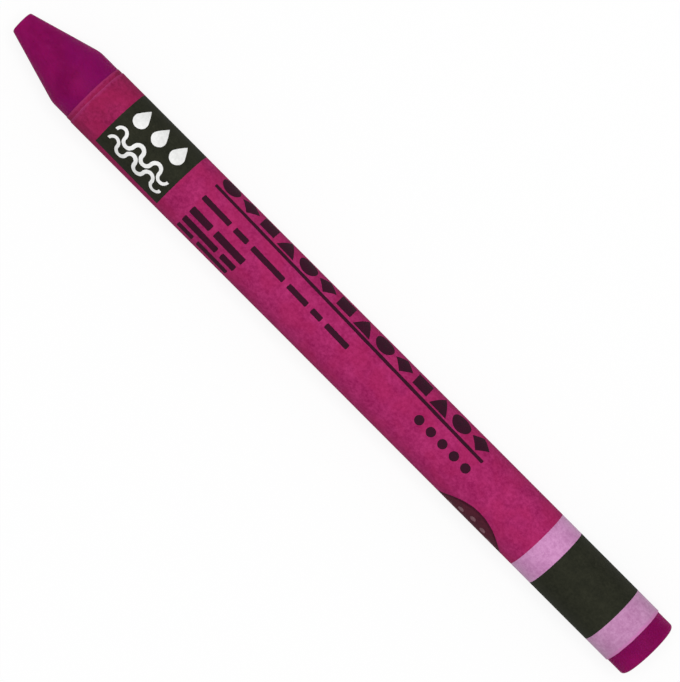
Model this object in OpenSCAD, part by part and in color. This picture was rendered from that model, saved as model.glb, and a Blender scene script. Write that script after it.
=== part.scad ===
// Water-soluble wax crayon: a pointed wax stick in a rolled, printed paper label.
// It lies along X with its point towards -X, and the underside of the label is at Z = 0.
// Stations are distances from the point's flat nose along the stick. Angles go round the stick from its top,
// positive towards -Y.

/* [Stick] */
// Length of the whole stick
stick_len = 102; // [98:1:140]
// Diameter of the bare wax
stick_d = 8; // [7:0.1:10]
// Diameter of the flat nose
nose_d = 2.8; // [1.5:0.05:4]
// Length of the cone from the nose to the shoulder
cone_len = 9; // [6:0.5:10]
// Radius of the rounded rim of the nose
nose_round = 0.25; // [0.1:0.05:0.4]
// Radius of the blend from the cone to the straight stick
shoulder_round = 5; // [2:0.5:5]
// Radius of the rounded rim of the butt end
butt_round = 0.45; // [0.3:0.05:1.2]

/* [Label] */
// Radial play between the stick and the label
slide_gap = 0.02; // [0.01:0.01:0.1]
// Thickness of the paper
paper_t = 0.03; // [0.03:0.005:0.12]
// Thickness of the paste between the two turns
paste_t = 0.025; // [0.025:0.005:0.05]
// Thickness of the printed face
print_t = 0.025; // [0.025:0.005:0.05]
// Station of the outer turn's front edge
label_front = 12.2; // [11.5:0.1:14]
// Width of the sheet, along the stick
label_len = 87.2; // [85:0.1:88]
// How far the inner turn stands ahead of the outer turn
turn_shift = 0.66; // [0.2:0.02:1]
// Angle of the seam where the outer turn ends
seam_at = 219; // [205:1:235]
// Gap left at the seam, in degrees
seam_gap = 4; // [2:1:6]
// Angle of the hidden slit in the inner turn, before the seam
inner_seam_lead = 12; // [8:1:20]
// Angle by which the sheet is rolled askew
roll_skew = 1.25; // [0:0.05:2]

/* [Rings] */
// Station where the ground ends and the rings begin
rings_at = 83.75; // [80:0.05:84]
// Width of the front pale ring
pale_w = 3.1; // [2:0.05:4]
// Width of the dark ring
dark_w = 9.15; // [6:0.05:10]

/* [Panel] */
// Station of the panel's front edge
panel_at = 15.8; // [15.5:0.1:16.5]
// Length of the panel along the stick
panel_len = 10; // [9.5:0.1:10.5]
// Angle of the panel's upper edge
panel_from = -110; // [-120:1:-100]
// Angle of the panel's lower edge
panel_to = 61.6; // [50:0.1:65]
// Diameter of the drops on the panel
drop_d = 1.9; // [1.5:0.1:2.1]
// Height of a drop from its middle to its tip
drop_h = 2.1; // [1.9:0.1:2.3]
// Pitch of the drops
drop_pitch = 2.9; // [2.6:0.1:3]
// Angle of the drops
drop_phi = -24; // [-30:1:-20]
// Width of the strokes of the waves
wave_w = 0.5; // [0.3:0.1:0.6]
// Radius of a wave's bends
wave_r = 0.7; // [0.6:0.1:0.8]

/* [Printed rows] */
// Station where the rows of print begin
rows_at = 29; // [28:0.1:30]
// Length of the rule and of the row of shapes
title_len = 43.9; // [40:0.1:44]
// Angle of the rule at its front end
rule_phi = -39; // [-40:0.1:-37]
// Thickness of the rule
rule_t = 0.46; // [0.2:0.02:0.5]
// Angle of the row of shapes at its front end
shapes_phi = -64; // [-68:1:-64]
// Size of the shapes
shape_d = 2.7; // [1.8:0.1:2.7]
// Angle of the row of dashes at its front end
dashes_phi = -9; // [-12:1:-6]
// Thickness of the dashes
dash_t = 0.7; // [0.3:0.05:0.8]
// Angle of the first row of bars at its front end
bars_phi = 18; // [14:0.5:20]
// Step from one row of bars to the next
bars_step = 21; // [20:0.5:24]
// Thickness of the bars
bar_t = 0.95; // [0.4:0.05:1.1]
// Diameter of the row of dots
dot_d = 1.2; // [0.5:0.1:1.4]
// Angle of the row of dots at the rows' front end
dots_phi = -12; // [-16:1:-10]

/* [Roundel] */
// Station of the roundel's middle
roundel_at = 76.8; // [76:0.1:77.5]
// Angle of the roundel's middle
roundel_phi = 114.8; // [112:0.1:116]
// Radius of the roundel, measured over the paper
roundel_r = 5.6; // [4:0.1:5.6]
// Radius of the circle of dots in the roundel, measured over the paper
roundel_dots_r = 4; // [3:0.1:4.2]
// Diameter of those dots
roundel_dot_d = 0.8; // [0.4:0.1:1]

/* [Hidden] */
$fn = 96;

// radii of the layers, from the wax outwards
stick_r = stick_d / 2;
bore_r = stick_r + slide_gap;
inner_r = bore_r + paper_t;
paste_r = inner_r + paste_t;
outer_r = paste_r + paper_t;
label_r = outer_r + print_t;

// stations of the label's edges and of the rings
label_rear = label_front + label_len;
dark_at = rings_at + pale_w;
rear_pale_at = dark_at + dark_w;

// the seam leaves this stretch of the outer turn
sheet_from = seam_at + seam_gap / 2 - 360;
sheet_to = seam_at - seam_gap / 2;

// how far a row of print turns round the stick for each millimetre along it
skew_per_mm = tan(roll_skew) / label_r * 180 / PI;

// the cone's slope, and the tangent points of the shoulder's blend
nose_r = nose_d / 2;
cone_angle = atan((stick_r - nose_r) / cone_len);
shoulder_tan = shoulder_round * tan(cone_angle / 2);
nose_tan = nose_round * tan((90 - cone_angle) / 2);

// how far a cutting shape reaches past the printed face
cut_over = 1;

// the lengths of the dashes and of the bars, row by row, with a gap after each
dash_lens = [4.4, 2.1, 5.2, 3.1, 1.6, 3.6];
dash_gap = 0.75;
bar_rows = [[3.2, 4.6], [5.4, 2.2], [2.4, 4.8]];
bar_gap = 0.7;

// the row of shapes, the drops, the waves and the dots
shape_count = 14;
shape_pitch = title_len / shape_count;
diamond_side = 0.72 * shape_d;
square_side = 0.84 * shape_d;
drop_count = 3;
wave_count = 2;
wave_bends = 6;
wave_phi = 14;
wave_step = 20;
dot_count = 5;
dot_pitch = 1.9;
dots_end = rows_at + title_len;
roundel_dot_count = 14;
roundel_steps = 24;

function sum_before(list, i) = i == 0 ? 0 : list[i - 1] + sum_before(list, i - 1);

// the angle of a row at a station, for a row that starts at the angle phi
function row_phi(phi, station) = phi + (station - rows_at) * skew_per_mm;

// half the roundel's height as seen along its middle, where it wraps round the stick
function wrapped(x) = label_r * sin(sqrt(max(roundel_r * roundel_r - x * x, 0)) / label_r * 180 / PI);

// lay what is modelled about the upright axis along the stick, with stations along X
module along() {
    translate([-stick_len / 2, 0, label_r]) rotate([0, 90, 0]) children();
}

// a curved plate between two radii, two stations and two angles
module plate(r0, r1, from, to, phi0, phi1) {
    along() translate([0, 0, from]) rotate([0, 0, 180 + phi0])
        rotate_extrude(angle = phi1 - phi0) translate([r0, 0]) square([r1 - r0, to - from]);
}

// the printed face of the outer turn between two stations
module face(from, to) {
    plate(outer_r, label_r, from, to, sheet_from, sheet_to);
}

// a flat shape pushed out from the axis at a station and an angle
module stamp(station, phi) {
    translate([station - stick_len / 2, 0, label_r]) rotate([phi, 0, 0])
        linear_extrude(label_r + cut_over) children();
}

// a stamp in a row, turned with the askew sheet
module row_stamp(station, phi) {
    stamp(station, row_phi(phi, station)) rotate(-roll_skew) children();
}

module drop_shape() {
    tangent = acos(drop_d / 2 / drop_h);
    side = drop_d / 2 * [sin(tangent), cos(tangent)];
    circle(d = drop_d);
    polygon([[0, drop_h], side, [-side.x, side.y]]);
}

module half_ring(up) {
    difference() {
        circle(wave_r + wave_w / 2);
        circle(wave_r - wave_w / 2);
        translate([-2 * wave_r, up ? -3 * wave_r : 0]) square([4 * wave_r, 3 * wave_r]);
    }
}

module wave_shape() {
    for (i = [0:wave_bends - 1])
        translate([(2 * i - wave_bends + 1) * wave_r, 0]) half_ring(i % 2 == 0);
}

module title_shape(kind) {
    if (kind == 0) circle(d = shape_d);
    if (kind == 1) rotate(45) square(diamond_side, center = true);
    if (kind == 2) square(square_side, center = true);
    if (kind == 3) polygon([[-shape_d / 2, -shape_d / 2], [shape_d / 2, -shape_d / 2], [0, shape_d / 2]]);
}

module mark_stamps() {
    middle = panel_at + panel_len / 2;
    for (i = [0:drop_count - 1])
        stamp(middle + (i - (drop_count - 1) / 2) * drop_pitch, drop_phi) drop_shape();
    for (i = [0:wave_count - 1])
        stamp(middle, wave_phi + i * wave_step) wave_shape();
}

module title_stamps() {
    for (i = [0:shape_count - 1])
        row_stamp(rows_at + (i + 0.5) * shape_pitch, shapes_phi) title_shape(i % 4);
}

module rule_stamp() {
    row_stamp(rows_at + title_len / 2, rule_phi) square([title_len, rule_t], center = true);
}

module dash_stamps() {
    for (i = [0:len(dash_lens) - 1])
        row_stamp(rows_at + sum_before(dash_lens, i) + i * dash_gap + dash_lens[i] / 2, dashes_phi)
            square([dash_lens[i], dash_t], center = true);
}

module bar_stamps() {
    for (row = [0:len(bar_rows) - 1])
        for (i = [0:len(bar_rows[row]) - 1])
            row_stamp(rows_at + sum_before(bar_rows[row], i) + i * bar_gap + bar_rows[row][i] / 2,
                      bars_phi + row * bars_step)
                square([bar_rows[row][i], bar_t], center = true);
}

module dot_stamps() {
    for (i = [0:dot_count - 1])
        row_stamp(dots_end - (i + 0.5) * dot_pitch, dots_phi) circle(d = dot_d);
}

module roundel_stamp() {
    upper = [for (i = [0:roundel_steps]) let (x = -roundel_r * cos(180 * i / roundel_steps)) [x, wrapped(x)]];
    lower = [for (i = [roundel_steps - 1:-1:1]) [upper[i].x, -upper[i].y]];
    stamp(roundel_at, roundel_phi) polygon(concat(upper, lower));
}

module roundel_dot_stamps() {
    for (i = [0:roundel_dot_count - 1])
        let (turn = 360 * (i + 0.5) / roundel_dot_count)
            stamp(roundel_at + roundel_dots_r * cos(turn),
                  roundel_phi + roundel_dots_r * sin(turn) / label_r * 180 / PI)
                circle(d = roundel_dot_d);
}

// half of the stick's lengthwise section: radius across, station up
module stick_profile() {
    nose_centre = nose_r + nose_round * tan(cone_angle) - nose_round / cos(cone_angle);
    polygon([
        [0, 0],
        [nose_r - nose_tan, 0],
        [nose_r + nose_tan * sin(cone_angle), nose_tan * cos(cone_angle)],
        [stick_r - shoulder_tan * sin(cone_angle), cone_len - shoulder_tan * cos(cone_angle)],
        [stick_r, cone_len + shoulder_tan],
        [stick_r, stick_len - butt_round],
        [stick_r - butt_round, stick_len],
        [0, stick_len]
    ]);
    translate([nose_centre, nose_round]) circle(nose_round);
    translate([stick_r - butt_round, stick_len - butt_round]) circle(butt_round);
    intersection() {
        translate([stick_r - shoulder_round, cone_len + shoulder_tan]) circle(shoulder_round);
        square([stick_d, stick_len]);
    }
}

// the wax, one solid of revolution
module wax_stick() {
    color([0.49, 0.055, 0.32]) along() rotate_extrude() stick_profile();
}

// the sheet's first turn, next to the wax
module label_inner_turn() {
    color([0.58, 0.14, 0.35])
        plate(bore_r, inner_r, label_front - turn_shift, label_rear - turn_shift,
              sheet_from - inner_seam_lead, sheet_to - inner_seam_lead);
}

// the paste that holds the second turn to the first
module label_paste() {
    color([0.9, 0.87, 0.78])
        plate(inner_r, paste_r, label_front, label_rear - turn_shift, sheet_from, sheet_to);
}

// the sheet's second turn, under the print
module label_outer_turn() {
    color([0.93, 0.86, 0.88]) plate(paste_r, outer_r, label_front, label_rear, sheet_from, sheet_to);
}

// the magenta ground, left open where other print lies
module ground_print() {
    color([0.63, 0.13, 0.36]) difference() {
        face(label_front, rings_at);
        plate(outer_r - cut_over, label_r + cut_over, panel_at, panel_at + panel_len, panel_from, panel_to);
        title_stamps();
        rule_stamp();
        dash_stamps();
        bar_stamps();
        dot_stamps();
        roundel_stamp();
    }
}

// the three rings near the butt
module front_pale_band() {
    color([0.77, 0.55, 0.72]) face(rings_at, dark_at);
}

module dark_band() {
    color([0.16, 0.17, 0.13]) face(dark_at, rear_pale_at);
}

module rear_pale_band() {
    color([0.75, 0.51, 0.69]) face(rear_pale_at, label_rear);
}

// the panel behind the cone, with its white drops and waves
module dark_panel() {
    color([0.15, 0.15, 0.12]) difference() {
        plate(outer_r, label_r, panel_at, panel_at + panel_len, panel_from, panel_to);
        mark_stamps();
    }
}

module panel_mark() {
    color([0.95, 0.95, 0.94]) intersection() {
        face(panel_at, panel_at + panel_len);
        mark_stamps();
    }
}

// the dark rows of print
module title_shapes() {
    color([0.2, 0.09, 0.14]) intersection() {
        face(label_front, rings_at);
        title_stamps();
    }
}

module title_rule() {
    color([0.2, 0.09, 0.14]) intersection() {
        face(label_front, rings_at);
        rule_stamp();
    }
}

module text_dashes() {
    color([0.2, 0.09, 0.14]) intersection() {
        face(label_front, rings_at);
        dash_stamps();
    }
}

module colour_bars() {
    color([0.2, 0.09, 0.14]) intersection() {
        face(label_front, rings_at);
        bar_stamps();
    }
}

module number_dots() {
    color([0.2, 0.09, 0.14]) intersection() {
        face(label_front, rings_at);
        dot_stamps();
    }
}

// the roundel low on the side, with a circle of pale dots
module roundel_disc() {
    color([0.17, 0.13, 0.13]) difference() {
        intersection() {
            face(label_front, rings_at);
            roundel_stamp();
        }
        roundel_dot_stamps();
    }
}

module roundel_dots() {
    color([0.72, 0.56, 0.66]) intersection() {
        face(label_front, rings_at);
        roundel_dot_stamps();
    }
}

wax_stick();
label_inner_turn();
label_paste();
label_outer_turn();
ground_print();
front_pale_band();
dark_band();
rear_pale_band();
dark_panel();
panel_mark();
title_shapes();
title_rule();
text_dashes();
colour_bars();
number_dots();
roundel_disc();
roundel_dots();
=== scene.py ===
import bpy
import math
import numpy as np
from mathutils import Matrix, Vector


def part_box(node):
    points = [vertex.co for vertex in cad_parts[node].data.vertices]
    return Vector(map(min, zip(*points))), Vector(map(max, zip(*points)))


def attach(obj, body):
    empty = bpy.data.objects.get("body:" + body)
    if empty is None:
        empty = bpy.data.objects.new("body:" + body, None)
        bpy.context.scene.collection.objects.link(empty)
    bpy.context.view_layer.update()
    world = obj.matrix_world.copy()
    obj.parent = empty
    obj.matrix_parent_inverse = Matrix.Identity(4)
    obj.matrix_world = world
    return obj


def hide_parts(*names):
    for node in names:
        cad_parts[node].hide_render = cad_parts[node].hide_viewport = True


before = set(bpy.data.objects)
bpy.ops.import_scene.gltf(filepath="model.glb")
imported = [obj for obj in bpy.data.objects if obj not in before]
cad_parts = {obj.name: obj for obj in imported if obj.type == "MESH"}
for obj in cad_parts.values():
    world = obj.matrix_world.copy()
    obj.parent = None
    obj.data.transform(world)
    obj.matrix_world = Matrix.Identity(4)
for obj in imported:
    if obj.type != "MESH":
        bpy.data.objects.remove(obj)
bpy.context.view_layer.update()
print("frame loaded:", len(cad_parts), "nodes")

mm = 0.001  # pieces are worked out in millimetres and stored in metres
sharpDeg = 35  # edges that turn by more than this stay crisp


def boxMm(node):
    low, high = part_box(node)
    return np.array(low) / mm, np.array(high) / mm


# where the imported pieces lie: stations run along the stick from its nose, angles round it from its top
stickLow, stickHigh = boxMm("wax_stick")
noseX = stickLow[0]
axisZ = (stickLow[2] + stickHigh[2]) / 2
stickLength = stickHigh[0] - stickLow[0]


def radiusOf(node):
    low, high = boxMm(node)
    return (high[2] - low[2]) / 2


def stationsOf(node):
    low, high = boxMm(node)
    return low[0] - noseX, high[0] - noseX


stickRadius = radiusOf("wax_stick")
innerRadius = radiusOf("label_inner_turn")
pasteRadius = radiusOf("label_paste")
paperRadius = radiusOf("label_outer_turn")
faceRadius = radiusOf("ground_print")


# a point at a station, a radius and an angle: the angle turns from straight up towards -Y
def around(s, r, phi):
    return np.stack([noseX + s, -r * np.sin(phi), axisZ + r * np.cos(phi)], axis=-1)


# rises from 0 to 1 with level ends
def smoothStep(t):
    t = np.clip(t, 0, 1)
    return t * t * (3 - 2 * t)


# a smooth unevenness: the sum of a few sine waves that run in seeded directions, mostly between -1 and 1
def uneven(a, b, wavelength, seed, waves=7):
    rng = np.random.default_rng(seed)
    turns = rng.uniform(0, 2 * np.pi, waves)
    stretches = rng.uniform(0.6, 1.7, waves)
    phases = rng.uniform(0, 2 * np.pi, waves)
    total = 0
    for turn, stretch, phase in zip(turns, stretches, phases):
        k = 2 * np.pi / (wavelength * stretch)
        total = total + np.sin(k * (a * np.cos(turn) + b * np.sin(turn)) + phase)
    return total / math.sqrt(waves * 2)


# quads between the neighbours of a grid of vertex numbers, facing the way that the columns cross the rows
def gridQuads(index):
    corners = [index[:-1, :-1], index[:-1, 1:], index[1:, 1:], index[1:, :-1]]
    return np.stack(corners, axis=-1).reshape(-1, 4)


def newPiece(name, verts, faces, body, node, materials, faceSlots=None, rim=None):
    mesh = bpy.data.meshes.new(name)
    mesh.from_pydata((np.asarray(verts) * mm).tolist(), [], faces)
    mesh.update()
    for mat in materials:
        mesh.materials.append(mat)
    if faceSlots is not None:
        mesh.polygons.foreach_set("material_index", np.asarray(faceSlots, dtype=np.int32))
    if rim is not None:  # distance from the sheet's edge, for wear along it
        distances = mesh.attributes.new("rim", "FLOAT", "POINT")
        distances.data.foreach_set("value", np.asarray(rim, dtype=np.float32).ravel())
    mesh.polygons.foreach_set("use_smooth", np.ones(len(mesh.polygons), dtype=bool))
    mesh.set_sharp_from_angle(angle=math.radians(sharpDeg))
    piece = bpy.data.objects.new(name, mesh)
    bpy.context.scene.collection.objects.link(piece)
    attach(piece, body)
    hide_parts(node)
    print("piece", name, len(mesh.polygons), "faces")


# shader helpers: tree is the node tree of a material, of the world or of a group

# a colour in screen levels from 0 to 255, as the linear colour that a socket takes
def linear(rgb):
    c = np.array(rgb, dtype=float) / 255
    return tuple(np.where(c <= 0.04045, c / 12.92, ((c + 0.055) / 1.055) ** 2.4)) + (1.0,)


def plug(tree, socket, value):
    if isinstance(value, bpy.types.NodeSocket):
        tree.links.new(value, socket)
    else:
        socket.default_value = value


def mixColour(tree, factor, a, b):
    mix = tree.nodes.new("ShaderNodeMix")
    mix.data_type = "RGBA"
    for number, value in ((0, factor), (6, a), (7, b)):  # a mix node's colours are its sockets 6 and 7
        plug(tree, mix.inputs[number], value)
    return mix.outputs[2]


def mixValue(tree, factor, a, b):
    mix = tree.nodes.new("ShaderNodeMix")
    for number, value in ((0, factor), (2, a), (3, b)):  # and its plain numbers are 2 and 3
        plug(tree, mix.inputs[number], value)
    return mix.outputs[0]


def mathNode(tree, operation, *values):
    node = tree.nodes.new("ShaderNodeMath")
    node.operation = operation
    for socket, value in zip(node.inputs, values):
        plug(tree, socket, value)
    return node.outputs[0]


def remap(tree, value, low, high, toLow=0.0, toHigh=1.0):
    node = tree.nodes.new("ShaderNodeMapRange")
    node.interpolation_type = "SMOOTHSTEP"
    tree.links.new(value, node.inputs["Value"])
    for key, number in (("From Min", low), ("From Max", high), ("To Min", toLow), ("To Max", toHigh)):
        node.inputs[key].default_value = number
    return node.outputs["Result"]


# noise whose blotches have a size in millimetres, drawn out along the axes by stretch
def noiseNode(tree, place, size, detail=2.0, roughness=0.5, stretch=(1, 1, 1)):
    mapping = tree.nodes.new("ShaderNodeMapping")
    mapping.inputs["Scale"].default_value = stretch
    tree.links.new(place, mapping.inputs["Vector"])
    noise = tree.nodes.new("ShaderNodeTexNoise")
    noise.inputs["Detail"].default_value = detail
    noise.inputs["Roughness"].default_value = roughness
    tree.links.new(mapping.outputs["Vector"], noise.inputs["Vector"])
    if isinstance(size, bpy.types.NodeSocket):
        tree.links.new(mathNode(tree, "DIVIDE", 1 / mm, size), noise.inputs["Scale"])
    else:
        noise.inputs["Scale"].default_value = 1 / (size * mm)
    return noise.outputs["Fac"]


# roughness that a mask carries from less to more than its middle value
def varyRoughness(tree, shader, mask, maskRange, look):
    less, more = [look["roughness"] + part for part in look["roughnessSpread"]]
    tree.links.new(remap(tree, mask, *maskRange, less, more), shader.inputs["Roughness"])


def reliefNode(tree, shader, height, look):
    relief = tree.nodes.new("ShaderNodeBump")
    relief.inputs["Strength"].default_value = look["relief"]
    relief.inputs["Distance"].default_value = look["reliefDepth"] * mm
    tree.links.new(height, relief.inputs["Height"])
    tree.links.new(relief.outputs["Normal"], shader.inputs["Normal"])


def newMaterial(name, look):
    mat = bpy.data.materials.new(name)
    mat.use_nodes = True
    tree = mat.node_tree
    shader = tree.nodes["Principled BSDF"]
    shader.inputs["Roughness"].default_value = look["roughness"]
    shader.inputs["Specular IOR Level"].default_value = look["specular"]
    place = tree.nodes.new("ShaderNodeTexCoord").outputs["Object"]
    return mat, tree, shader, place


# the wax stick

waxShape = {
    "noseRadius": 1.43, "noseRound": 0.25, "coneLength": 8.85, "buttRound": 0.45,
    "shoulderBlend": 0.06,      # how softly the cone runs into the straight stick
    "coneOffset": -0.02,        # the cone was pointed a little off the axis, towards +Y
    "buttTilt": 0.08,           # the butt is this much out of square at its rim
    "tiltReach": 3.0,
    "buttDish": 0.07,           # and a little hollow, as cast wax shrinks
    "sawStep": 0.42, "sawDepth": 0.013, "sawTurn": 0.7, "sawWander": 2.0,   # marks of the cut across it
    "ringStep": 0.31, "ringDepth": 0.004,       # fine rings left by the pointing cutter
    "ringSway": 0.6, "ringBeat": 3.1,           # they sway round the cone, and come and go along it
    "ringsPast": 0.5, "ringsFade": 1.2,         # they run on past the cone, and fade out
    "lineCount": 46, "lineDepth": 0.0025,       # faint lines along the stick
    "lineSway": 0.7, "lineBend": 0.35, "lineBeat": (5, 0.11),   # they sway, and come and go round it
    "waviness": 0.003, "waveLength": 3.0,
    "fadeRadius": 0.8,          # unevenness fades towards the middles of both ends
    # station, angle, size and depth of small dents
    "dents": ((4.2, 0.5, 0.5, 0.02), (6.9, -0.9, 0.7, 0.02), (2.3, -0.2, 0.35, 0.02),
              (0.4, 1.9, 0.4, 0.04), (10.4, 1.1, 0.5, 0.015), (100.9, 0.4, 0.4, 0.02),
              (101.4, 2.6, 0.4, 0.04), (7.8, 3.0, 0.8, 0.03)),
    "bareEnd": 13.2,            # rows lie close up to here, a little way under the label
    "rearStretch": 2.4,         # and along this much of the stick before the butt's rim
    "rows": {"noseFlat": 10, "noseRim": 9, "bare": 150, "covered": 44, "rear": 24,
             "buttRim": 13, "buttFlat": 44},
    "axisRing": 0.06,           # the innermost ring at each end, closed by one face
    "sectors": 256,
}


# half of the lengthwise section, as arrays of station and radius: flat nose, rounded rim, cone, straight
# stick, rounded rim, flat butt. The last value is the radius of the butt's flat.
def waxSection(w):
    rows = w["rows"]
    slope = math.atan((stickRadius - w["noseRadius"]) / w["coneLength"])
    noseFlat = w["noseRadius"] + w["noseRound"] * (math.tan(slope) - 1 / math.cos(slope))
    flatR = np.linspace(w["axisRing"], noseFlat, rows["noseFlat"])
    noseTurn = np.linspace(0, np.pi / 2 - slope, rows["noseRim"])[1:]
    rimS = w["noseRound"] * (1 - np.cos(noseTurn))
    rimR = noseFlat + w["noseRound"] * np.sin(noseTurn)
    buttStart = stickLength - w["buttRound"]
    rearStart = buttStart - w["rearStretch"]
    stretches = ((rimS[-1], w["bareEnd"], rows["bare"]), (w["bareEnd"], rearStart, rows["covered"]),
                 (rearStart, buttStart, rows["rear"]))
    sideS = np.concatenate([np.linspace(*stretch)[1:] for stretch in stretches])
    coneR = w["noseRadius"] + sideS * math.tan(slope)
    blend = w["shoulderBlend"]
    sideR = -blend * np.logaddexp(-coneR / blend, -stickRadius / blend)
    buttTurn = np.linspace(0, np.pi / 2, rows["buttRim"])[1:]
    buttS = buttStart + w["buttRound"] * np.sin(buttTurn)
    buttR = stickRadius - w["buttRound"] * (1 - np.cos(buttTurn))
    endR = np.linspace(buttR[-1], w["axisRing"], rows["buttFlat"])[1:]
    s = np.concatenate([np.zeros(len(flatR)), rimS, sideS, buttS, np.full(len(endR), stickLength)])
    r = np.concatenate([flatR, rimR, sideR, buttR, endR])
    return s, r, buttR[-1]


# the section turned about the axis, with each ring's radius changed a little by angle and station: an
# offset cone, cutter rings, lines, waves and dents. The butt is tilted, dished and marked by the saw.
def waxStick():
    w = waxShape
    s, r, flatRadius = waxSection(w)
    turns = np.linspace(0, 2 * np.pi, w["sectors"], endpoint=False)
    station, phi = np.meshgrid(s, turns, indexing="ij")
    radius = np.repeat(r[:, None], len(turns), axis=1)
    inside = np.minimum(radius / w["fadeRadius"], 1)
    onCone = smoothStep((w["coneLength"] + w["ringsPast"] - station) / w["ringsFade"])
    radius = radius + inside * onCone * w["coneOffset"] * np.sin(phi)
    sway = w["ringSway"] * np.sin(phi)
    beat = 0.6 + 0.4 * np.sin(w["ringBeat"] * station)
    rings = np.sin(2 * np.pi * station / w["ringStep"] + sway) * beat
    radius = radius - inside * onCone * w["ringDepth"] * rings
    sway = w["lineSway"] * np.sin(w["lineBend"] * station)
    roundBeat, lengthBeat = w["lineBeat"]
    beat = 0.5 + 0.5 * np.sin(roundBeat * phi + lengthBeat * station)
    lines = np.sin(w["lineCount"] * phi + sway) * beat
    radius = radius - inside * (1 - onCone) * w["lineDepth"] * lines
    waves = uneven(station, stickRadius * np.cos(phi), w["waveLength"], 11)
    radius = radius - inside * w["waviness"] * waves
    for dentStation, dentPhi, size, depth in w["dents"]:
        aside = radius * np.angle(np.exp(1j * (phi - dentPhi)))
        away = (station - dentStation) ** 2 + aside ** 2
        radius = radius - depth * np.exp(-away / size ** 2) * inside
    atButt = smoothStep((station - stickLength + w["tiltReach"]) / w["tiltReach"])
    station = station - atButt * w["buttTilt"] * np.sin(phi) * radius / stickRadius
    within = np.clip(1 - (radius / flatRadius) ** 2, 0, 1) * (s >= stickLength)[:, None]
    wander = uneven(radius * np.cos(phi), radius * np.sin(phi), w["sawWander"], 12)
    saw = np.sin(2 * np.pi * radius * np.cos(phi - w["sawTurn"]) / w["sawStep"] + wander)
    station = station - within * w["buttDish"] - np.sqrt(within) * w["sawDepth"] * (1 + saw)
    verts = around(station, radius, phi).reshape(-1, 3)
    index = np.arange(len(verts)).reshape(station.shape)
    faces = gridQuads(np.concatenate([index, index[:, :1]], axis=1)).tolist()
    faces += [index[0, ::-1].tolist(), index[-1].tolist()]
    newPiece("waxStick", verts, faces, "stick", "wax_stick", [waxMaterial()])


waxLook = {
    "deep": (125, 8, 80), "mid": (139, 13, 90), "cloudSize": 3.2, "cloudRange": (0.35, 0.65),
    "purple": (128, 9, 92), "purpleShare": 0.6, "purpleSize": 5.5, "purpleRange": (0.5, 0.72),
    # the pores' dark colour is painted shade, laid on the pits that the relief sinks
    "poreShade": (84, 2, 52), "poreShadeShare": 0.4, "poreSize": 0.22, "poreRange": (0.7, 0.77),
    "bloom": (158, 48, 120), "bloomShare": 0.2,     # a pale haze and fine scratches, drawn out lengthwise
    "hazeSize": 0.5, "hazeRange": (0.52, 0.8), "hazeStretch": (0.3, 1.0, 1.0),
    "scratchSize": 0.07, "scratchRange": (0.7, 0.78), "scratchStretch": (0.03, 1.0, 1.0),
    "roughness": 0.55, "roughnessSpread": (-0.06, 0.14), "roughHaze": (0.35, 0.7), "specular": 0.03,
    "grainSize": 0.16, "relief": 0.9, "reliefDepth": 0.03,
    "scatter": 0.5, "scatterReach": 3.0, "scatterShares": (1.0, 0.25, 0.5),     # light soaks a little way in
    "sheen": 0.15, "sheenTint": (190, 30, 120),     # the dusty skin, light at grazing angles
}


# two tones in clouds that drift towards purple, with painted shade in the pores, which the relief also
# sinks, and a pale bloom over them
def waxMaterial():
    w = waxLook
    mat, tree, shader, place = newMaterial("pigmentedWax", w)
    cloud = noiseNode(tree, place, w["cloudSize"], detail=3.0, roughness=0.55)
    clouded = remap(tree, cloud, *w["cloudRange"])
    tone = mixColour(tree, clouded, linear(w["deep"]), linear(w["mid"]))
    drift = noiseNode(tree, place, w["purpleSize"], detail=1.0)
    purpled = remap(tree, drift, *w["purpleRange"], 0.0, w["purpleShare"])
    tone = mixColour(tree, purpled, tone, linear(w["purple"]))
    poresAndShade = remap(tree, noiseNode(tree, place, w["poreSize"], detail=1.0), *w["poreRange"])
    # painted shade: the pits are darkened in colour as well as sunk by the relief below
    tone = mixColour(tree, mathNode(tree, "MULTIPLY", poresAndShade, w["poreShadeShare"]), tone, linear(w["poreShade"]))
    haze = noiseNode(tree, place, w["hazeSize"], detail=4.0, roughness=0.65, stretch=w["hazeStretch"])
    scratch = noiseNode(tree, place, w["scratchSize"], detail=1.0, stretch=w["scratchStretch"])
    hazed = remap(tree, haze, *w["hazeRange"], 0.0, w["bloomShare"])
    scratched = remap(tree, scratch, *w["scratchRange"], 0.0, w["bloomShare"])
    bloom = mathNode(tree, "MAXIMUM", hazed, scratched)
    tree.links.new(mixColour(tree, bloom, tone, linear(w["bloom"])), shader.inputs["Base Color"])
    varyRoughness(tree, shader, haze, w["roughHaze"], w)
    grain = noiseNode(tree, place, w["grainSize"], detail=3.0, roughness=0.6)
    reliefNode(tree, shader, mathNode(tree, "MULTIPLY_ADD", poresAndShade, -1.0, grain), w)
    shader.inputs["Sheen Weight"].default_value = w["sheen"]
    shader.inputs["Sheen Tint"].default_value = linear(w["sheenTint"])
    shader.inputs["Subsurface Weight"].default_value = w["scatter"]
    shader.inputs["Subsurface Radius"].default_value = w["scatterShares"]
    shader.inputs["Subsurface Scale"].default_value = w["scatterReach"] * mm
    return mat


# inks and papers

paperGrain = {
    "Cloud Size": 1.8, "Grain Size": 0.4, "Grain Share": 0.6,   # the unevenness of the ink
    "toneRange": (0.3, 0.7),
    "driftSize": 3.0, "driftRange": (0.42, 0.66),
    "speckSize": 0.14, "speckRange": (0.66, 0.76),
    "fibreSize": 0.09, "lengthwise": (0.16, 1.0, 1.0), "crosswise": (1.0, 0.2, 0.2),
    "grainHeight": 0.3,         # of the grain, where a fibre's height is 1
}
paperInputs = ("Cloud Size", "Grain Size", "Grain Share")


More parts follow.
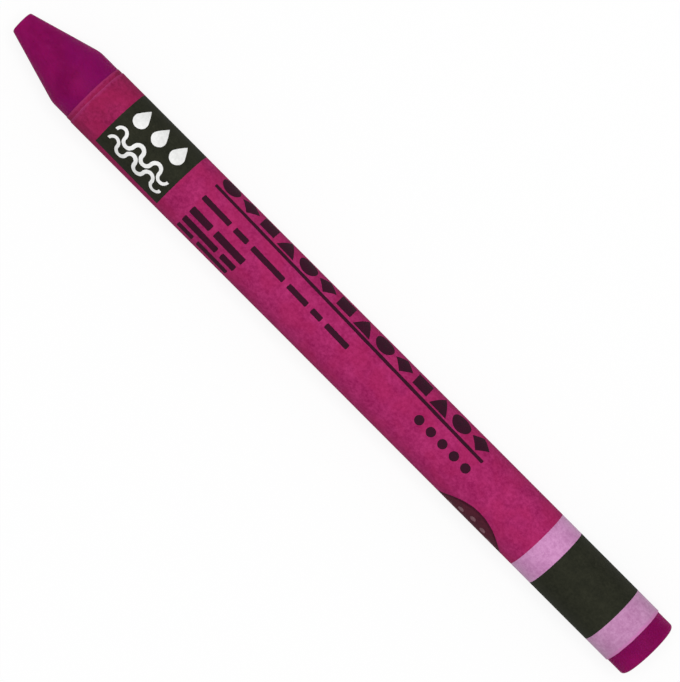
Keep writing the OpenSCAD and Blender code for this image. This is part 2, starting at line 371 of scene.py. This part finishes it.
# shared effect: ink on uncoated paper. Tone is the unevenness of the ink and Drift its slow change of hue,
# from 0 to 1, Pinholes are specks that the ink missed, and Height is the fibres of the paper.
def inkedPaperGroup():
    w = paperGrain
    group = bpy.data.node_groups.new("inkedPaper", "ShaderNodeTree")
    for name in paperInputs:
        group.interface.new_socket(name, in_out="INPUT", socket_type="NodeSocketFloat")
    for name in ("Tone", "Drift", "Pinholes", "Height"):
        group.interface.new_socket(name, in_out="OUTPUT", socket_type="NodeSocketFloat")
    start = group.nodes.new("NodeGroupInput").outputs
    end = group.nodes.new("NodeGroupOutput").inputs
    place = group.nodes.new("ShaderNodeTexCoord").outputs["Object"]
    cloud = noiseNode(group, place, start["Cloud Size"], detail=3.0, roughness=0.55)
    cloud = remap(group, cloud, *w["toneRange"])
    grain = noiseNode(group, place, start["Grain Size"], detail=3.0, roughness=0.7)
    grain = remap(group, grain, *w["toneRange"])
    group.links.new(mixValue(group, start["Grain Share"], cloud, grain), end["Tone"])
    drift = noiseNode(group, place, w["driftSize"])
    group.links.new(remap(group, drift, *w["driftRange"]), end["Drift"])
    specks = noiseNode(group, place, w["speckSize"], detail=1.0)
    group.links.new(remap(group, specks, *w["speckRange"]), end["Pinholes"])
    lengthwise, crosswise = [noiseNode(group, place, w["fibreSize"], roughness=0.6, stretch=w[key])
                             for key in ("lengthwise", "crosswise")]
    fibres = mathNode(group, "MAXIMUM", lengthwise, crosswise)
    group.links.new(mathNode(group, "MULTIPLY_ADD", grain, w["grainHeight"], fibres), end["Height"])
    return group


inkedPaper = inkedPaperGroup()

# dark and light are the two tones of an ink, warm is the hue that it drifts to, and bare is what shows
# through pinholes and along rubbed rims. front gives dark, light and bare where wax and fingers stain the
# label's front.
inkLooks = {
    "magentaGround": {
        "dark": (144, 12, 80), "light": (184, 50, 114), "bare": (192, 92, 142), "pinholes": 0.1,
        "rub": 0.35, "warm": (174, 30, 84), "front": ((122, 10, 61), (166, 38, 92), (162, 45, 102)),
    },
    "frontPale": {
        "dark": (187, 120, 172), "light": (218, 155, 204), "bare": (236, 194, 226), "pinholes": 0.35,
        "sheen": 0.3,
    },
    "rearPale": {
        "dark": (177, 116, 162), "light": (209, 152, 196), "bare": (203, 115, 178), "pinholes": 0.2,
        "rub": 0.42, "sheen": 0.3,
    },
    "oliveBlack": {
        "dark": (22, 24, 13), "light": (47, 48, 37), "bare": (92, 84, 78), "pinholes": 0.12,
    },
    "rowInk": {
        "dark": (38, 6, 24), "light": (62, 16, 40), "bare": (120, 26, 72), "pinholes": 0.3,
    },
    "roundelInk": {
        "dark": (62, 15, 33), "light": (94, 38, 52), "bare": (58, 6, 30), "pinholes": 0.2, "rub": 0.45,
    },
    "roundelDot": {
        "dark": (116, 76, 86), "light": (146, 106, 116), "bare": (166, 124, 140), "pinholes": 0.2,
    },
    "whiteMark": {
        "dark": (230, 230, 228), "light": (252, 252, 251), "bare": (205, 200, 200), "pinholes": 0.15,
    },
    "cutPaper": {
        "dark": (180, 94, 150), "light": (208, 134, 184), "bare": (228, 180, 210), "pinholes": 0.3,
        "front": ((150, 44, 96), (180, 76, 126), (190, 96, 142)),
    },
    "insidePaper": {
        "dark": (214, 196, 200), "light": (236, 224, 226), "bare": (246, 240, 240), "pinholes": 0.2,
    },
}
inkFinish = {
    "roughness": 0.86, "roughnessSpread": (-0.08, 0.08), "roughTone": (0.2, 0.8), "specular": 0.13,
    "relief": 0.3, "reliefDepth": 0.02,
    "driftShare": 0.3,
    "rubShare": 0.85, "rubRange": (-0.35, 0.6),     # the range is in parts of an ink's own rub
    "frontFrom": 12.0, "frontTo": 32.0,             # stations between which the front's stain wears off
}


# two tones of ink mixed by the paper's unevenness, with pinholes and a rubbed rim. Where front tones are
# given, each colour runs from its front tone to its own along the label.
def inkMaterial(name):
    w, f = inkLooks[name], inkFinish
    mat, tree, shader, place = newMaterial(name, f)
    effect = tree.nodes.new("ShaderNodeGroup")
    effect.node_tree = inkedPaper
    for key in paperInputs:
        effect.inputs[key].default_value = paperGrain[key]
    tone = effect.outputs["Tone"]
    dark, light, bare = [linear(w[key]) for key in ("dark", "light", "bare")]
    if "front" in w:
        split = tree.nodes.new("ShaderNodeSeparateXYZ")
        tree.links.new(place, split.inputs[0])
        stainX, cleanX = [(noseX + f[key]) * mm for key in ("frontFrom", "frontTo")]
        back = remap(tree, split.outputs["X"], stainX, cleanX)
        dark, light, bare = [mixColour(tree, back, linear(stained), clean)
                             for stained, clean in zip(w["front"], (dark, light, bare))]
    colour = mixColour(tree, tone, dark, light)
    if "warm" in w:
        share = mathNode(tree, "MULTIPLY", effect.outputs["Drift"], f["driftShare"])
        colour = mixColour(tree, share, colour, linear(w["warm"]))
    missed = mathNode(tree, "MULTIPLY", effect.outputs["Pinholes"], w["pinholes"])
    if "rub" in w:
        rim = tree.nodes.new("ShaderNodeAttribute")
        rim.attribute_name = "rim"
        ragged = mathNode(tree, "MULTIPLY_ADD", tone, -w["rub"], rim.outputs["Fac"])
        worn, whole = [w["rub"] * part for part in f["rubRange"]]
        missed = mathNode(tree, "MAXIMUM", missed, remap(tree, ragged, worn, whole, f["rubShare"], 0.0))
    tree.links.new(mixColour(tree, missed, colour, bare), shader.inputs["Base Color"])
    varyRoughness(tree, shader, tone, f["roughTone"], f)
    reliefNode(tree, shader, effect.outputs["Height"], f)
    shader.inputs["Sheen Weight"].default_value = w.get("sheen", 0)
    return mat


ink = {name: inkMaterial(name) for name in inkLooks}

pasteLook = {
    "thick": (206, 192, 160), "thin": (232, 224, 200), "patchSize": 1.4, "patchRange": (0.35, 0.65),
    "roughness": 0.4, "specular": 0.3,
}


def pasteMaterial():
    w = pasteLook
    mat, tree, shader, place = newMaterial("driedPaste", w)
    patchy = remap(tree, noiseNode(tree, place, w["patchSize"], detail=3.0), *w["patchRange"])
    colour = mixColour(tree, patchy, linear(w["thick"]), linear(w["thin"]))
    tree.links.new(colour, shader.inputs["Base Color"])
    return mat


print("materials made")

# the rolled label

labelRoll = {
    "skewDeg": 1.25,            # the sheet is rolled this much askew
    "rowStation": 29.0,         # the station at which angles on the label are stated
    "play": 0.02,               # between the wax and the paper
    "lipDeg": -139.0,           # the free edge of the outer turn
    "lipLift": 0.012, "lipReach": 0.35,
    "diveDeg": 217.0,           # where the outer turn dives under that edge
    "diveWidth": 0.9, "diveDepth": 0.055,
    "innerLeadDeg": 12.0,       # the inner turn's slit lies this far before the outer one
    "ripple": 0.003, "rippleLength": 5.0,       # the paper's slight waviness
    "crease": 0.006, "creaseLength": 1.6,       # small slanting creases behind the front edge
    "creaseReach": 3.0, "creaseSlant": 0.5, "creaseNarrow": 0.35,
    "edgeLift": 0.006, "edgeReach": 0.4,        # cut edges stand off a little
    "fray": 0.018, "frayLength": 1.3, "frayReach": 0.25,    # how far a cut edge wanders
    "margin": 0.04,             # bare paper along a cut edge
    "pasteFront": 0.3, "pasteLip": 0.2, "pasteDive": 1.0,   # the paste stops short of the turn's edges
}
skew = math.radians(labelRoll["skewDeg"])
labelFront, labelRear = stationsOf("label_outer_turn")
innerFront, innerRear = stationsOf("label_inner_turn")
lipArc = faceRadius * math.radians(labelRoll["lipDeg"])
diveArc = faceRadius * math.radians(labelRoll["diveDeg"])


# the flat sheet's own place for a station and an angle on the rolled label: along the print, and across it
def onSheet(s, phiDeg):
    ds = s - labelRoll["rowStation"]
    arc = faceRadius * math.radians(phiDeg)
    return (labelRoll["rowStation"] + ds * math.cos(skew) + arc * math.sin(skew),
            arc * math.cos(skew) - ds * math.sin(skew))


# rolls the flat sheet askew: the place along and across the print turns by the skew, and what then runs
# across becomes an angle round the stick. The paper ripples, and its cut ends lift. The outer turn and its
# print are creased, and dive under the free edge.
def roll(along, across, radius, dives=True):
    w = labelRoll
    ds = along - w["rowStation"]
    arc = across * math.cos(skew) + ds * math.sin(skew)
    s = w["rowStation"] + ds * math.cos(skew) - across * math.sin(skew)
    r = radius + w["ripple"] * uneven(along, across, w["rippleLength"], 21)
    atFront = np.exp((labelFront - along) / w["edgeReach"])
    atRear = np.exp((along - labelRear) / w["edgeReach"])
    r = r + w["edgeLift"] * np.clip(atFront + atRear, 0, 1)
    if dives:
        nearFront = np.exp(-((along - labelFront) / w["creaseReach"]) ** 2)
        slanted = along + w["creaseSlant"] * across
        creases = uneven(slanted, w["creaseNarrow"] * across, w["creaseLength"], 22)
        r = r + w["crease"] * nearFront * creases
        r = r - w["diveDepth"] * smoothStep((across - diveArc + w["diveWidth"]) / w["diveWidth"])
        r = r + w["lipLift"] * np.exp(-(across - lipArc) / w["lipReach"])
    return around(s, r, arc / faceRadius)


# a closed thin sheet: one grid rolled at two radii, joined by a rim. The kinds of its faces are 0 outside,
# 1 inside and 2 rim.
def closedSheet(along, across, low, high, dives=True):
    rows, cols = along.shape
    count = rows * cols
    verts = np.concatenate([roll(along, across, high, dives).reshape(-1, 3),
                            roll(along, across, low, dives).reshape(-1, 3)])
    top = np.arange(count).reshape(rows, cols)
    loop = np.concatenate([top[0, :], top[1:, -1], top[-1, -2::-1], top[-2:0:-1, 0]])
    after = np.roll(loop, -1)
    rim = np.stack([after, loop, loop + count, after + count], axis=-1)
    upper = gridQuads(top)
    quads = np.concatenate([upper, upper[:, ::-1] + count, rim])
    kinds = np.repeat([0, 1, 2], [len(upper), len(upper), len(rim)])
    return verts, quads, kinds


# even steps between two ends, with a few close ones at each end where the rim of the paper shows
def edged(low, high, count):
    near = np.array([0, 0.03, 0.06, 0.1, 0.16, 0.25, 0.36])
    evenFrom = 0.5
    evenSteps = np.linspace(low + evenFrom, high - evenFrom, count)
    return np.concatenate([low + near, evenSteps, high - near[::-1]])


def sheetGrid(front, rear, first, last, rows, cols):
    return np.meshgrid(edged(front, rear, rows), edged(first, last, cols), indexing="ij")


# distance from the sheet's free edge and from those of its ends that are cut, for both of its faces
def rimDistance(along, across, frontCut=True, rearCut=True):
    distance = across - across.min()
    if frontCut:
        distance = np.minimum(distance, along - along.min())
    if rearCut:
        distance = np.minimum(distance, along.max() - along)
    return np.tile(distance.ravel(), 2)


# a cut edge wanders a little: the rows near a cut end move along by an unevenness that fades inwards
def frayed(along, across, seed):
    w = labelRoll
    fromFront, fromRear = along - along.min(), along.max() - along
    fade = np.exp(-fromFront / w["frayReach"]) + np.exp(-fromRear / w["frayReach"])
    return along + w["fray"] * fade * uneven(across, 0 * across, w["frayLength"], seed)


# the inner turn, the film of paste on it and the outer turn, each a closed sheet at its own two radii
def rollLabel():
    w = labelRoll
    lead = faceRadius * math.radians(w["innerLeadDeg"])
    along, across = sheetGrid(innerFront, innerRear, lipArc - lead, diveArc - lead, rows=60, cols=220)
    bore = stickRadius + w["play"]
    verts, quads, kinds = closedSheet(frayed(along, across, 41), across, bore, innerRadius, dives=False)
    newPiece("innerTurn", verts, quads.tolist(), "label", "label_inner_turn",
             [ink["magentaGround"], ink["insidePaper"], ink["cutPaper"]], kinds, rimDistance(along, across))
    along, across = sheetGrid(labelFront + w["pasteFront"], innerRear, lipArc + w["pasteLip"],
                              diveArc - w["pasteDive"], rows=30, cols=150)
    verts, quads, _ = closedSheet(along, across, innerRadius, pasteRadius)
    newPiece("pasteFilm", verts, quads.tolist(), "label", "label_paste", [pasteMaterial()])
    along, across = sheetGrid(labelFront, labelRear, lipArc, diveArc, rows=60, cols=240)
    verts, quads, kinds = closedSheet(frayed(along, across, 42), across, pasteRadius, paperRadius)
    newPiece("outerTurn", verts, quads.tolist(), "label", "label_outer_turn",
             [ink["cutPaper"], ink["insidePaper"], ink["cutPaper"]], kinds)


# heights of the print's layers over the paper, up to the top of the white marks
layerHeights = {"pale": 0.010, "ground": 0.013, "dark": 0.016, "rows": 0.018, "marks": 0.023}
layer = {name: paperRadius + height for name, height in layerHeights.items()}
sink = 0.004  # each layer starts this far inside the one below
trap = 0.04  # neighbouring rings of ink overlap by this much
cutReach = 1.0  # a ring that ends this near the label's end has a cut edge there


# a ring of print round the whole turn, between two places along the sheet
def printRing(name, node, front, rear, top, inkName, rows):
    along, across = sheetGrid(front, rear, lipArc + labelRoll["margin"], diveArc, rows, cols=250)
    verts, quads, _ = closedSheet(along, across, paperRadius - sink, top)
    rim = rimDistance(along, across, front < labelFront + cutReach, rear > labelRear - cutReach)
    newPiece(name, verts, quads.tolist(), "label", node, [ink[inkName]], rim=rim)


def printRings():
    front, rear = labelFront + labelRoll["margin"], labelRear - labelRoll["margin"]
    groundEnd = stationsOf("ground_print")[1]
    darkFront, darkRear = stationsOf("dark_band")
    printRing("groundPrint", "ground_print", front, groundEnd, layer["ground"],
              "magentaGround", rows=70)
    printRing("frontPaleBand", "front_pale_band", groundEnd - trap, darkFront + trap, layer["pale"],
              "frontPale", rows=14)
    printRing("darkBand", "dark_band", darkFront, darkRear, layer["dark"],
              "oliveBlack", rows=24)
    printRing("rearPaleBand", "rear_pale_band", darkRear - trap, rear, layer["pale"],
              "rearPale", rows=14)


# flat shapes for the print, as grids of places along and across the sheet, where up on the print is
# towards smaller across

tipHalf = 0.012  # half the width that a drop keeps at its ends
tipShare = 0.01  # the share of its base that a triangle keeps at its tip


# a square grid of places from -1 to 1
def squareGrid(count=25):
    return np.meshgrid(np.linspace(-1, 1, count), np.linspace(-1, 1, count), indexing="ij")


# the square grid pressed into a disc
def discShape(radius, count=25):
    u, v = squareGrid(count)
    return radius * u * np.sqrt(1 - v ** 2 / 2), radius * v * np.sqrt(1 - u ** 2 / 2)


# the square grid at half its side
def squareShape(half):
    u, v = squareGrid()
    return half * u, half * v


# the square turned by an eighth
def diamondShape(half):
    u, v = squareGrid()
    return half * (u - v) / math.sqrt(2), half * (u + v) / math.sqrt(2)


# the square's width grows from a point at the top to the base
def triangleShape(half):
    u, v = squareGrid()
    return half * u * np.maximum((v + 1) / 2, tipShare), half * v


# a drop: its width grows straight from the tip to the circle that it touches, then follows that circle
def dropShape(radius, height):
    u, v = squareGrid()
    y = -height + (height + radius) * (1 - np.cos(np.pi * (v + 1) / 2)) / 2
    touch = math.acos(radius / height)
    yTouch = -radius * math.cos(touch)
    straight = radius * math.sin(touch) * (y + height) / (yTouch + height)
    circle = np.sqrt(np.maximum(radius ** 2 - y ** 2, 0))
    return u * np.maximum(np.where(y < yTouch, straight, circle), tipHalf), y


barEnds = {"reach": 0.06, "share": 0.55}  # over the last reach of a bar, its width falls to this share


# a bar whose width falls off at its very ends
def barShape(length, thick):
    w = barEnds
    evenSteps = np.linspace(-0.5, 0.5, 41) * (1 - 2 * w["reach"] / length)
    steps = np.concatenate([[-0.5], evenSteps, [0.5]]) * length
    x, v = np.meshgrid(steps, np.linspace(-0.5, 0.5, 7), indexing="ij")
    fromEnd = (length / 2 - np.abs(x)) / w["reach"]
    return x, v * thick * np.minimum(1, w["share"] + (1 - w["share"]) * fromEnd)


# a wavy stroke: half circles in turn above and below a line, widest in the middle of the stroke
def waveShape(bends, radius, thick):
    t = np.linspace(0, bends, bends * 24 + 1)
    bend = np.minimum(np.floor(t), bends - 1)
    turn = ((t - bend) * np.pi)[:, None]
    up = np.where(bend % 2 == 0, 1.0, -1.0)[:, None]
    width = (thick * (0.72 + 0.28 * np.sin(np.pi * np.clip(t / bends, 0.04, 0.96))))[:, None]
    out = radius - up * width * np.linspace(-0.5, 0.5, 7)[None, :]
    return (2 * bend - bends + 1)[:, None] * radius - out * np.cos(turn), -up * out * np.sin(turn)


creep = {"amount": 0.014, "length": 0.55}


# ink creeps a little into the paper, so a printed edge isn't quite straight
def crept(along, across):
    amount, length = creep["amount"], creep["length"]
    return (along + amount * uneven(along, across, length, 31),
            across + amount * uneven(across, along, length, 32))


# a flat shape as a closed sheet of ink, its middle at a station and an angle
def stampSheet(shape, s, phiDeg, low, high):
    atAlong, atAcross = onSheet(s, phiDeg)
    return closedSheet(*crept(shape[0] + atAlong, shape[1] + atAcross), low - sink, high)


# one piece of several sheets: each sheet's faces count on from the vertices of the sheets before it
def stampPiece(name, node, sheets, inkName, rim=None):
    allVerts, allQuads, _ = zip(*sheets)
    starts = np.cumsum([0] + [len(verts) for verts in allVerts[:-1]])
    faces = np.concatenate([quads + start for quads, start in zip(allQuads, starts)]).tolist()
    newPiece(name, np.concatenate(allVerts), faces, "label", node, [ink[inkName]], rim=rim)


# where the rows of print lie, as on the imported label
rowPrint = {
    "shapesDeg": -64.0, "shapeSize": 2.7, "shapeCount": 14, "length": 43.9,
    "diamondShare": 0.72, "squareShare": 0.84,      # of the disc's size, so that they look as large
    "ruleDeg": -39.0, "ruleThick": 0.46,
    "dashDeg": -9.0, "dashThick": 0.7, "dashes": (4.4, 2.1, 5.2, 3.1, 1.6, 3.6), "dashGap": 0.75,
    "barDeg": 18.0, "barStep": 21.0, "barThick": 0.95, "barGap": 0.7,
    "bars": ((3.2, 4.6), (5.4, 2.2), (2.4, 4.8)),
    "dotDeg": -12.0, "dotSize": 1.2, "dotCount": 5, "dotPitch": 1.9,
}


# the angle of a row at a station: rows turn with the askew sheet
def rowDeg(deg, s):
    return deg + math.degrees((s - labelRoll["rowStation"]) * math.tan(skew) / faceRadius)


def rowStamp(shape, s, deg):
    return stampSheet(shape, s, rowDeg(deg, s), layer["ground"], layer["rows"])


# bars one after another from the start of the rows, with a gap between them
def rowBars(lengths, gap, deg, thick):
    s = labelRoll["rowStation"]
    for length in lengths:
        yield rowStamp(barShape(length, thick), s + length / 2, deg)
        s += length + gap


# the shapes of the title row, in turn: disc, diamond, square, triangle
def titleShape(number):
    half = rowPrint["shapeSize"] / 2
    kind = number % 4
    if kind == 0:
        return discShape(half)
    if kind == 1:
        return diamondShape(half * rowPrint["diamondShare"])
    if kind == 2:
        return squareShape(half * rowPrint["squareShare"])
    return triangleShape(half)


def printRows():
    w = rowPrint
    start = labelRoll["rowStation"]
    end = start + w["length"]
    pitch = w["length"] / w["shapeCount"]
    shapes = [rowStamp(titleShape(i), start + (i + 0.5) * pitch, w["shapesDeg"])
              for i in range(w["shapeCount"])]
    stampPiece("titleShapes", "title_shapes", shapes, "rowInk")
    rule = rowStamp(barShape(w["length"], w["ruleThick"]), (start + end) / 2, w["ruleDeg"])
    stampPiece("titleRule", "title_rule", [rule], "rowInk")
    dashes = list(rowBars(w["dashes"], w["dashGap"], w["dashDeg"], w["dashThick"]))
    stampPiece("textDashes", "text_dashes", dashes, "rowInk")
    bars = [sheet for i, lengths in enumerate(w["bars"])
            for sheet in rowBars(lengths, w["barGap"], w["barDeg"] + i * w["barStep"], w["barThick"])]
    stampPiece("colourBars", "colour_bars", bars, "rowInk")
    dots = [rowStamp(discShape(w["dotSize"] / 2), end - (i + 0.5) * w["dotPitch"], w["dotDeg"])
            for i in range(w["dotCount"])]
    stampPiece("numberDots", "number_dots", dots, "rowInk")


panelPrint = {
    "fromDeg": -110.0, "toDeg": 61.6, "rows": 90, "cols": 150,
    "dropDeg": -24.0, "dropSize": 1.9, "dropHeight": 2.1, "dropPitch": 2.9, "dropCount": 3,
    "waveDeg": (14.0, 34.0), "waveBends": 6, "waveRadius": 0.7, "waveThick": 0.5,
}


# a rectangle of dark print, with a row of drops above wavy strokes
def printPanel():
    w = panelPrint
    front, rear = stationsOf("dark_panel")
    middle = (front + rear) / 2
    upper, lower = [onSheet(middle, w[key])[1] for key in ("fromDeg", "toDeg")]
    along, across = np.meshgrid(np.linspace(front, rear, w["rows"]), np.linspace(upper, lower, w["cols"]),
                                indexing="ij")
    field = closedSheet(*crept(along, across), layer["ground"] - sink, layer["rows"])
    stampPiece("darkPanel", "dark_panel", [field], "oliveBlack")
    first = middle - (w["dropCount"] - 1) / 2 * w["dropPitch"]
    drop = dropShape(w["dropSize"] / 2, w["dropHeight"])
    wave = waveShape(w["waveBends"], w["waveRadius"], w["waveThick"])
    marks = [stampSheet(drop, first + i * w["dropPitch"], w["dropDeg"], layer["rows"], layer["marks"])
             for i in range(w["dropCount"])]
    marks += [stampSheet(wave, middle, deg, layer["rows"], layer["marks"]) for deg in w["waveDeg"]]
    stampPiece("panelMark", "panel_mark", marks, "whiteMark")


roundelPrint = {
    "station": 76.8, "deg": 114.8, "radius": 5.6, "gridCount": 81,
    "dotsRadius": 4.0, "dotSize": 0.8, "dotCount": 14,
}


# a disc of dark print, with a circle of dots
def printRoundel():
    w = roundelPrint
    shape = discShape(w["radius"], w["gridCount"])
    disc = stampSheet(shape, w["station"], w["deg"], layer["ground"], layer["rows"])
    rim = np.tile(w["radius"] - np.hypot(*shape).ravel(), 2)
    stampPiece("roundelDisc", "roundel_disc", [disc], "roundelInk", rim)
    turns = [2 * math.pi * (i + 0.5) / w["dotCount"] for i in range(w["dotCount"])]
    dots = [stampSheet(discShape(w["dotSize"] / 2), w["station"] + w["dotsRadius"] * math.cos(turn),
                       w["deg"] + math.degrees(w["dotsRadius"] * math.sin(turn) / faceRadius),
                       layer["rows"], layer["marks"]) for turn in turns]
    stampPiece("roundelDots", "roundel_dots", dots, "roundelDot")


waxStick()
rollLabel()
printRings()
printRows()
printPanel()
printRoundel()
print("object made")

# stage, light and camera

stageLook = {
    "keyShare": 0.6, "skyShare": 0.4,       # together they light a level surface at 1
    "keyHeight": 0.8, "keySize": 0.45, "keyLean": 0.07,
    "floorSize": 6.0,
    "floorGrey": 0.5,                       # the floor as it throws light back
    "floorWhite": 0.85,                     # how much of the floor's white doesn't take the shadow
}


# one where the camera, a reflection or something clear looks, and nought where light is gathered
def lookedAt(tree):
    path = tree.nodes.new("ShaderNodeLightPath").outputs
    seen = mathNode(tree, "MAXIMUM", path["Is Camera Ray"], path["Is Glossy Ray"])
    return mathNode(tree, "MAXIMUM", seen, path["Is Transmission Ray"])


def mixShaders(tree, factor, a, b, output):
    mix = tree.nodes.new("ShaderNodeMixShader")
    tree.links.new(factor, mix.inputs[0])
    tree.links.new(a.outputs[0], mix.inputs[1])
    tree.links.new(b.outputs[0], mix.inputs[2])
    tree.links.new(mix.outputs[0], tree.nodes[output].inputs["Surface"])


def floorMaterial():
    mat = bpy.data.materials.new("whiteTable")
    mat.use_nodes = True
    tree = mat.node_tree
    tree.nodes.remove(tree.nodes["Principled BSDF"])
    looked = lookedAt(tree)
    grey = stageLook["floorGrey"]
    diffuse = tree.nodes.new("ShaderNodeBsdfDiffuse")
    tree.links.new(mathNode(tree, "MULTIPLY_ADD", looked, 1 - grey, grey), diffuse.inputs["Color"])
    glow = tree.nodes.new("ShaderNodeEmission")
    share = mathNode(tree, "MULTIPLY", looked, stageLook["floorWhite"])
    mixShaders(tree, share, diffuse, glow, "Material Output")
    return mat


def tableTop():
    half = stageLook["floorSize"] / 2
    corners = [(-half, -half, 0), (half, -half, 0), (half, half, 0), (-half, half, 0)]
    mesh = bpy.data.meshes.new("tableTop")
    mesh.from_pydata(corners, [], [(0, 1, 2, 3)])
    mesh.materials.append(floorMaterial())
    floor = bpy.data.objects.new("tableTop", mesh)
    bpy.context.scene.collection.objects.link(floor)


# a white sky that lights the object with its share, and is seen as plain white
def softSky():
    world = bpy.data.worlds.new("softSky")
    bpy.context.scene.world = world
    world.use_nodes = True
    tree = world.node_tree
    sky = tree.nodes["Background"]
    sky.inputs["Color"].default_value = (1, 1, 1, 1)
    sky.inputs["Strength"].default_value = stageLook["skyShare"]
    white = tree.nodes.new("ShaderNodeBackground")
    white.inputs["Color"].default_value = (1, 1, 1, 1)
    mixShaders(tree, lookedAt(tree), sky, white, "World Output")


# a square lamp overhead, of the power that gives a level surface below it about the key's share of light
def overheadSoftbox():
    height, size, lean = stageLook["keyHeight"], stageLook["keySize"], stageLook["keyLean"]
    lamp = bpy.data.lights.new("overheadSoftbox", "AREA")
    lamp.shape = "SQUARE"
    lamp.size = size
    lamp.energy = stageLook["keyShare"] * math.pi ** 2 * (height ** 2 + size ** 2 / 4)
    key = bpy.data.objects.new("overheadSoftbox", lamp)
    key.location = (0, lean, height)
    key.rotation_euler = (-math.atan2(lean, height), 0, 0)
    bpy.context.scene.collection.objects.link(key)


# the camera hangs over the crayon, a little towards its nose, and looks at the middle of the picture
cameraView = {
    "imageWidth": 680, "pixelsPerMm": 8.70, "sensor": 36.0,
    "turnDeg": 45.1,            # the stick runs this far below the picture's right-hand direction
    "aimStation": 51.67, "aimAside": 0.055,
    "footStation": 43.1, "height": 417.0,
    "clipStart": 10.0,
}


def camera():
    w = cameraView
    turn = math.radians(w["turnDeg"])
    aim = Vector((noseX + w["aimStation"], w["aimAside"], axisZ)) * mm
    eye = Vector((noseX + w["footStation"], w["aimAside"], axisZ + w["height"])) * mm
    back = (eye - aim).normalized()
    right = Vector((-math.sin(turn), math.cos(turn), 0)).cross(back).normalized()
    up = back.cross(right)
    lens = bpy.data.cameras.new("overheadCamera")
    lens.sensor_fit = "HORIZONTAL"
    lens.sensor_width = w["sensor"]
    lens.lens = w["pixelsPerMm"] * (eye - aim).length / mm * w["sensor"] / w["imageWidth"]
    lens.clip_start = w["clipStart"] * mm
    view = bpy.data.objects.new("overheadCamera", lens)
    view.matrix_world = Matrix((right, up, back)).transposed().to_4x4()
    view.location = eye
    bpy.context.scene.collection.objects.link(view)
    bpy.context.scene.camera = view


tableTop()
softSky()
overheadSoftbox()
camera()
bpy.context.scene.view_settings.view_transform = "Standard"
print("stage, light and camera set")
